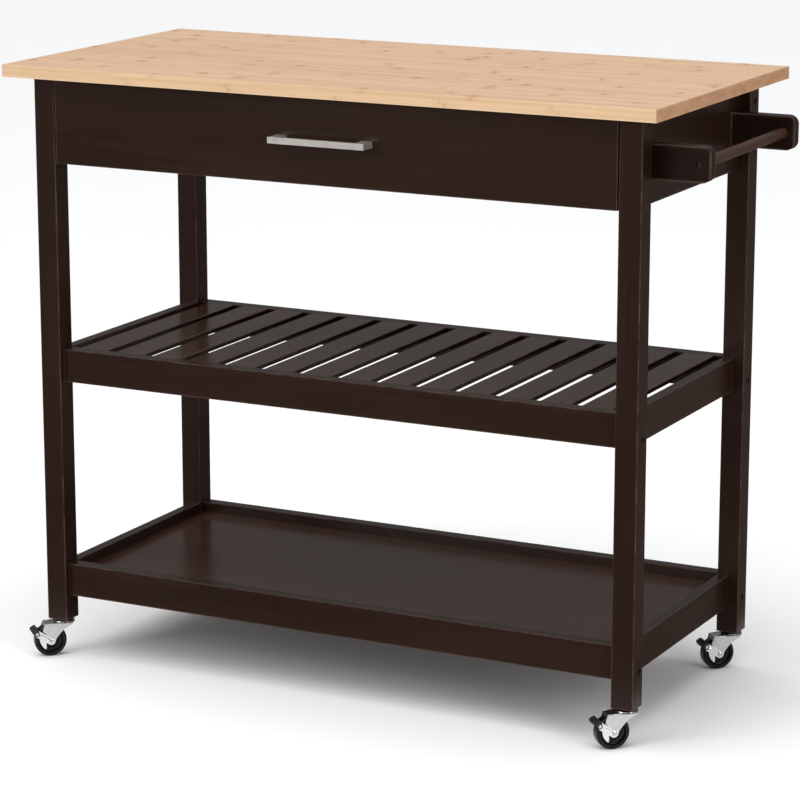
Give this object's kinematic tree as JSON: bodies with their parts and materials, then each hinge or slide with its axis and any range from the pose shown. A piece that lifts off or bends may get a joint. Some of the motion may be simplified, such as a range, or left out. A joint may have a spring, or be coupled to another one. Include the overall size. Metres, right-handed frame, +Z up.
{
  "type": "rolling utility cart",
  "caption": "Rolling wooden utility cart with a slab worktop, a full-width drawer, slatted and tray shelves, a side towel rack and braked swivel casters.",
  "frame": {"origin": "on the floor, at the centre of the whole cart's footprint, towel rack included", "axes": "+X to the towel-rack side (the right, seen from the drawer), +Y to the back, +Z up; the drawer faces -Y"},
  "size_m": [1.087, 0.508, 0.915],
  "materials": {
    "bamboo": "pale laminated strip wood, satin oil",
    "espresso_wood": "dark espresso brown lacquer, semi-gloss",
    "birch": "clear-lacquered plywood, satin",
    "beech": "bare hardwood, smooth",
    "satin_nickel": "satin nickel plating",
    "zinc_steel": "bright zinc plating",
    "dark_steel": "dark oxide, satin",
    "caster_chrome": "bright chrome-plated pressed steel",
    "brake_steel": "bright zinc-plated strip with a black foot pad",
    "wheel_black": "glossy black nylon"
  },
  "bodies": {
    "frame": {"worktop": "bamboo", "leg_front_left": "espresso_wood", "leg_front_right": "espresso_wood", "leg_back_left": "espresso_wood", "leg_back_right": "espresso_wood", "side_apron_left": "espresso_wood", "side_apron_right": "espresso_wood", "back_apron": "espresso_wood", "front_stretcher": "espresso_wood", "top_cleat": "espresso_wood", "drawer_runner_left": "beech", "drawer_runner_right": "beech", "mid_rail_front": "espresso_wood", "mid_rail_back": "espresso_wood", "mid_rail_left": "espresso_wood", "mid_rail_right": "espresso_wood", "slat_cleats": "espresso_wood", "shelf_slats": "espresso_wood", "low_rail_front": "espresso_wood", "low_rail_back": "espresso_wood", "low_rail_left": "espresso_wood", "low_rail_right": "espresso_wood", "panel_cleats": "espresso_wood", "bottom_panel": "espresso_wood", "rack_bracket_front": "espresso_wood", "rack_bracket_back": "espresso_wood", "towel_bar": "espresso_wood", "frame_bolts": "dark_steel", "barrel_nuts": "zinc_steel", "joint_dowels": "beech", "rack_screws": "zinc_steel", "worktop_screws": "zinc_steel", "caster_fl_stem": "caster_chrome", "caster_fr_stem": "caster_chrome", "caster_bl_stem": "caster_chrome", "caster_br_stem": "caster_chrome"},
    "drawer": {"drawer_front": "espresso_wood", "drawer_side_left": "birch", "drawer_side_right": "birch", "drawer_back": "birch", "drawer_bottom": "birch", "drawer_handle": "satin_nickel", "handle_screws": "zinc_steel"},
    "swivel_fl": {"caster_fl_fork": "caster_chrome", "caster_fl_axle": "caster_chrome"},
    "wheel_fl": {"caster_fl_wheel": "wheel_black"},
    "brake_fl": {"caster_fl_brake": "brake_steel"},
    "swivel_fr": {"caster_fr_fork": "caster_chrome", "caster_fr_axle": "caster_chrome"},
    "wheel_fr": {"caster_fr_wheel": "wheel_black"},
    "brake_fr": {"caster_fr_brake": "brake_steel"},
    "swivel_bl": {"caster_bl_fork": "caster_chrome", "caster_bl_axle": "caster_chrome"},
    "wheel_bl": {"caster_bl_wheel": "wheel_black"},
    "brake_bl": {"caster_bl_brake": "brake_steel"},
    "swivel_br": {"caster_br_fork": "caster_chrome", "caster_br_axle": "caster_chrome"},
    "wheel_br": {"caster_br_wheel": "wheel_black"},
    "brake_br": {"caster_br_brake": "brake_steel"}
  },
  "joints": [
    {"name": "drawer_slide", "type": "slide", "parent": "frame", "child": "drawer", "axis": [0, -1, 0], "range_m": [0, 0.3]},
    {"name": "caster_fl_swivel", "type": "hinge", "parent": "frame", "child": "swivel_fl", "pos_m": [-0.4935, -0.203, 0.055], "axis": [0, 0, 1], "continuous": true},
    {"name": "caster_fl_roll", "type": "hinge", "parent": "swivel_fl", "child": "wheel_fl", "pos_m": [-0.50906, -0.21856, 0.025], "axis": [0.7071, -0.7071, 0], "continuous": true},
    {"name": "caster_fl_brake_press", "type": "hinge", "parent": "swivel_fl", "child": "brake_fl", "pos_m": [-0.50906, -0.21856, 0.025], "axis": [0.7071, -0.7071, 0], "range_deg": [0, 14]},
    {"name": "caster_fr_swivel", "type": "hinge", "parent": "frame", "child": "swivel_fr", "pos_m": [0.4465, -0.203, 0.055], "axis": [0, 0, 1], "continuous": true},
    {"name": "caster_fr_roll", "type": "hinge", "parent": "swivel_fr", "child": "wheel_fr", "pos_m": [0.43094, -0.21856, 0.025], "axis": [0.7071, -0.7071, 0], "continuous": true},
    {"name": "caster_fr_brake_press", "type": "hinge", "parent": "swivel_fr", "child": "brake_fr", "pos_m": [0.43094, -0.21856, 0.025], "axis": [0.7071, -0.7071, 0], "range_deg": [0, 14]},
    {"name": "caster_bl_swivel", "type": "hinge", "parent": "frame", "child": "swivel_bl", "pos_m": [-0.4935, 0.203, 0.055], "axis": [0, 0, 1], "continuous": true},
    {"name": "caster_bl_roll", "type": "hinge", "parent": "swivel_bl", "child": "wheel_bl", "pos_m": [-0.50906, 0.18744, 0.025], "axis": [0.7071, -0.7071, 0], "continuous": true},
    {"name": "caster_bl_brake_press", "type": "hinge", "parent": "swivel_bl", "child": "brake_bl", "pos_m": [-0.50906, 0.18744, 0.025], "axis": [0.7071, -0.7071, 0], "range_deg": [0, 14]},
    {"name": "caster_br_swivel", "type": "hinge", "parent": "frame", "child": "swivel_br", "pos_m": [0.4465, 0.203, 0.055], "axis": [0, 0, 1], "continuous": true},
    {"name": "caster_br_roll", "type": "hinge", "parent": "swivel_br", "child": "wheel_br", "pos_m": [0.43094, 0.18744, 0.025], "axis": [0.7071, -0.7071, 0], "continuous": true},
    {"name": "caster_br_brake_press", "type": "hinge", "parent": "swivel_br", "child": "brake_br", "pos_m": [0.43094, 0.18744, 0.025], "axis": [0.7071, -0.7071, 0], "range_deg": [0, 14]}
  ]
}
